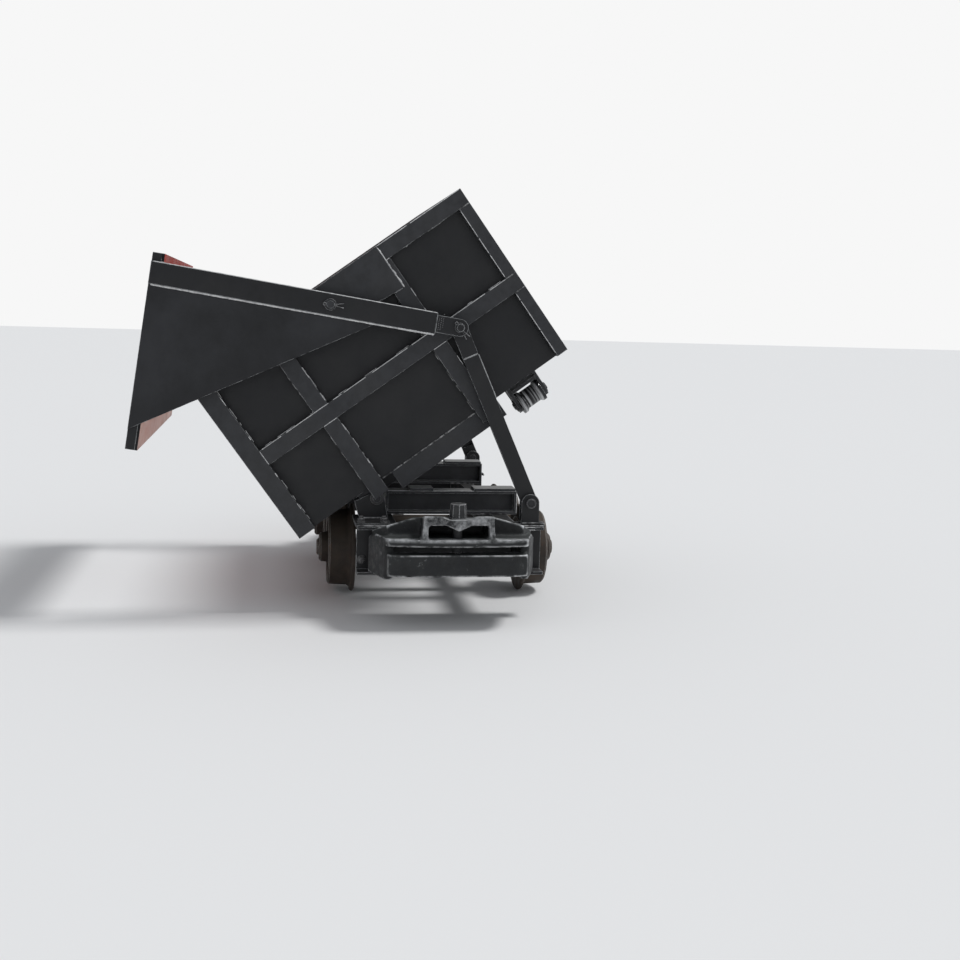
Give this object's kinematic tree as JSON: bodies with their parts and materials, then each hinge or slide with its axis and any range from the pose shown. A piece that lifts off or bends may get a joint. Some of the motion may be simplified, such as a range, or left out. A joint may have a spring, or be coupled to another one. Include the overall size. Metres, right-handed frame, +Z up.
{
  "type": "side dump ore cart",
  "caption": "Narrow-gauge mine car with a side-tipping box on a flanged-wheel chassis; a linkage swings the side door up as the roller lifts the box.",
  "frame": {"origin": "on the track's centre line midway between the axles, level with the lowest point of the wheel flanges", "axes": "+X along the track towards the near end, +Y towards the roller's side, away from the door, +Z up"},
  "size_m": [1.65, 1.413, 1.3237],
  "materials": {
    "frame_paint": "semi-gloss black paint, chipped at the edges",
    "box_paint": "semi-gloss black paint outside, red primer inside",
    "door_paint": "semi-gloss black paint outside, red primer inside",
    "casting": "rough cast, painted black, worn bright at the lips",
    "wheel_steel": "rusted cast steel with polished treads",
    "axle_steel": "forged, greasy",
    "roller_steel": "worn bright where it rolls",
    "pin_steel": "turned steel, greasy"
  },
  "bodies": {
    "frame": {"sole_bar_left": "frame_paint", "sole_bar_right": "frame_paint", "headstock_near": "frame_paint", "headstock_far": "frame_paint", "bolster_near": "frame_paint", "bolster_far": "frame_paint", "axle_boxes_near": "casting", "axle_boxes_far": "casting", "hinge_lugs_near": "frame_paint", "hinge_lugs_far": "frame_paint", "hinge_pin_near": "pin_steel", "hinge_pin_far": "pin_steel", "link_bracket_near": "frame_paint", "link_bracket_far": "frame_paint", "link_pin_near": "pin_steel", "link_pin_far": "pin_steel", "coupler_near": "casting", "coupler_far": "casting", "coupler_pin_near": "pin_steel", "coupler_pin_far": "pin_steel"},
    "box": {"box_floor": "box_paint", "box_side_wall": "box_paint", "side_frame": "frame_paint", "stringer_middle": "frame_paint", "stringer_right": "frame_paint", "roller_fork": "frame_paint", "end_wall_near": "box_paint", "end_wall_far": "box_paint", "end_frame_near": "frame_paint", "end_frame_far": "frame_paint", "end_beam_near": "frame_paint", "end_beam_far": "frame_paint", "bearer_near": "frame_paint", "bearer_far": "frame_paint", "hinge_knuckle_near": "frame_paint", "hinge_knuckle_far": "frame_paint", "door_pivot_near": "frame_paint", "door_pivot_far": "frame_paint"},
    "door": {"door_panel": "door_paint", "door_frame": "frame_paint", "door_arm_near": "frame_paint", "door_arm_far": "frame_paint", "door_wing_near": "frame_paint", "door_wing_far": "frame_paint"},
    "link_near": {"link_near": "frame_paint"},
    "link_far": {"link_far": "frame_paint"},
    "wheelset_near": {"axle_near": "axle_steel", "wheels_near": "wheel_steel"},
    "wheelset_far": {"axle_far": "axle_steel", "wheels_far": "wheel_steel"},
    "roller": {"tipping_roller": "roller_steel"}
  },
  "joints": [
    {"name": "box_tilt", "type": "hinge", "parent": "frame", "child": "box", "pos_m": [0, -0.225, 0.355], "axis": [1, 0, 0], "range_deg": [-36.2, 0]},
    {"name": "door_swing", "type": "hinge", "parent": "box", "child": "door", "pos_m": [0, -0.38477, 0.95681], "axis": [1, 0, 0], "range_deg": [0, 43.8]},
    {"name": "link_near_swing", "type": "hinge", "parent": "frame", "child": "link_near", "pos_m": [0.606, 0.25035, 0.355], "axis": [1, 0, 0], "range_deg": [-38.62, 0]},
    {"name": "link_far_swing", "type": "hinge", "parent": "frame", "child": "link_far", "pos_m": [-0.606, 0.25035, 0.355], "axis": [1, 0, 0], "range_deg": [-38.62, 0]},
    {"name": "wheelset_near_spin", "type": "hinge", "parent": "frame", "child": "wheelset_near", "pos_m": [0.25, 0, 0.147], "axis": [0, 1, 0], "continuous": true},
    {"name": "wheelset_far_spin", "type": "hinge", "parent": "frame", "child": "wheelset_far", "pos_m": [-0.25, 0, 0.147], "axis": [0, 1, 0], "continuous": true},
    {"name": "roller_spin", "type": "hinge", "parent": "box", "child": "roller", "pos_m": [0, 0.36078, 0.64927], "axis": [0, 0.807, 0.5906], "continuous": true}
  ],
  "couplings": [
    {"joint": "door_swing", "follows": "box_tilt", "ratio": -1.2099},
    {"joint": "link_near_swing", "follows": "box_tilt", "ratio": 1.0669},
    {"joint": "link_far_swing", "follows": "box_tilt", "ratio": 1.0669}
  ]
}
